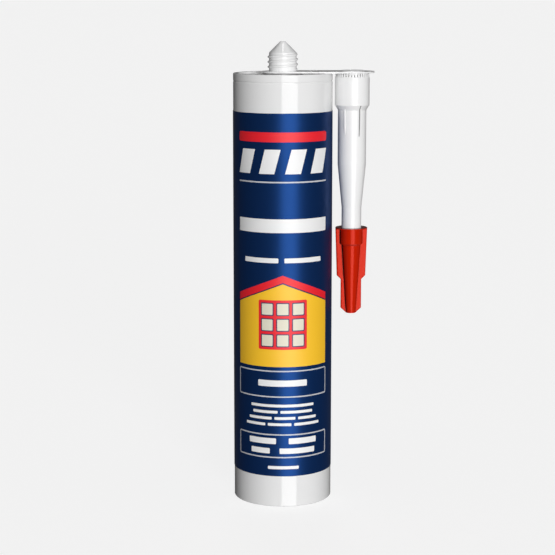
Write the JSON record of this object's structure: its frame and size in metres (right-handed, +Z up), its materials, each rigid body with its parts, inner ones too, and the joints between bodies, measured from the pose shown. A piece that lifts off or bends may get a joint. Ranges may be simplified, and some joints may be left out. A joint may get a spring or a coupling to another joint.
{
  "type": "sealant cartridge",
  "caption": "Sealant cartridge with a sliding piston, a threaded neck and a capped nozzle parked beside it on a swivelling strap.",
  "frame": {"origin": "centre of the open rear end, in the plane the cartridge stands on", "axes": "+Z up along the barrel towards the neck, +X from the barrel's axis to the parked nozzle"},
  "size_m": [0.0707, 0.05, 0.2323],
  "materials": {
    "white_plastic": "smooth white polyethylene",
    "label_film": "glossy dark blue printed film",
    "sealant": "white paste",
    "soft_plastic": "soft natural polyethylene",
    "red_plastic": "smooth red polyethylene"
  },
  "bodies": {
    "cartridge": {"cartridge_barrel": "white_plastic", "printed_label": "label_film", "sealant_fill": "sealant"},
    "piston": {"piston": "soft_plastic"},
    "holder": {"nozzle_holder": "white_plastic"},
    "nozzle": {"nozzle": "white_plastic"},
    "cap": {"nozzle_cap": "red_plastic"}
  },
  "joints": [
    {"name": "piston_slide", "type": "slide", "parent": "cartridge", "child": "piston", "axis": [0, 0, 1], "range_m": [0, 0.18], "deforming": ["sealant_fill"]},
    {"name": "holder_swivel", "type": "hinge", "parent": "cartridge", "child": "holder", "pos_m": [0, 0, 0.2172], "axis": [0, 0, 1], "continuous": true},
    {"name": "nozzle_pull", "type": "slide", "parent": "holder", "child": "nozzle", "axis": [0, 0, -1], "range_m": [0, 0.025]},
    {"name": "cap_pull", "type": "slide", "parent": "nozzle", "child": "cap", "axis": [0, 0, -1], "range_m": [0, 0.045]}
  ]
}
